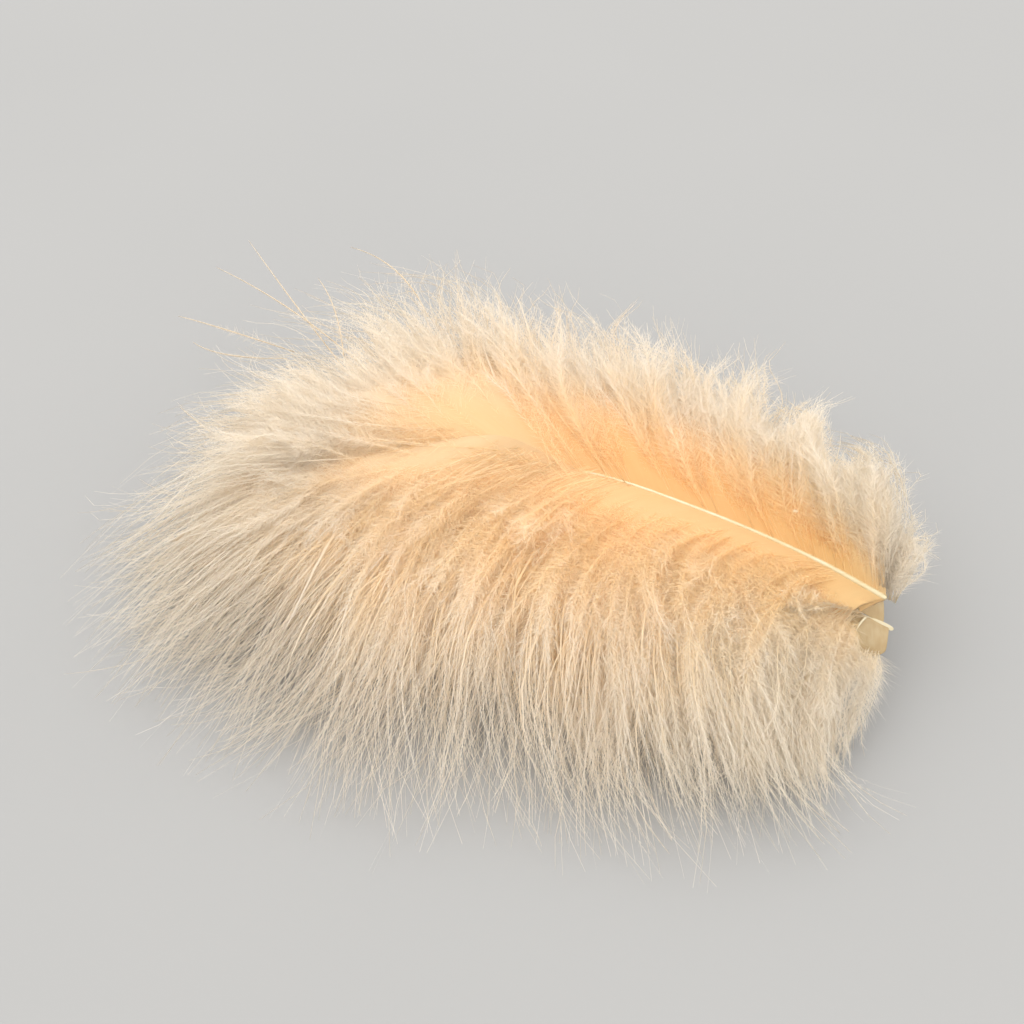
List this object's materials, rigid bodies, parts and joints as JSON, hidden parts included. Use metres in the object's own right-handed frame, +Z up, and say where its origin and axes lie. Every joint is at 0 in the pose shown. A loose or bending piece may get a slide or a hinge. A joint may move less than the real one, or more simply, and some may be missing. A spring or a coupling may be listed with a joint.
{
  "type": "marabou feather",
  "caption": "Fluffy dyed down plume lying on its side: a thin curved shaft with long soft locks that fan out from it on both sides.",
  "frame": {"origin": "centre of the box's underside, on the level surface that the plume lies on", "axes": "+X towards the quill's cut end along the plume's length, +Y towards the side whose down stands highest, +Z up"},
  "size_m": [0.1148, 0.0981, 0.0221],
  "materials": {
    "down": "soft matt peach-dyed down, paler towards the barbs' tips",
    "quill": "satin horn, pale cream yellow"
  },
  "bodies": {
    "root": {"marabou_feather": "down"}
  },
  "joints": []
}
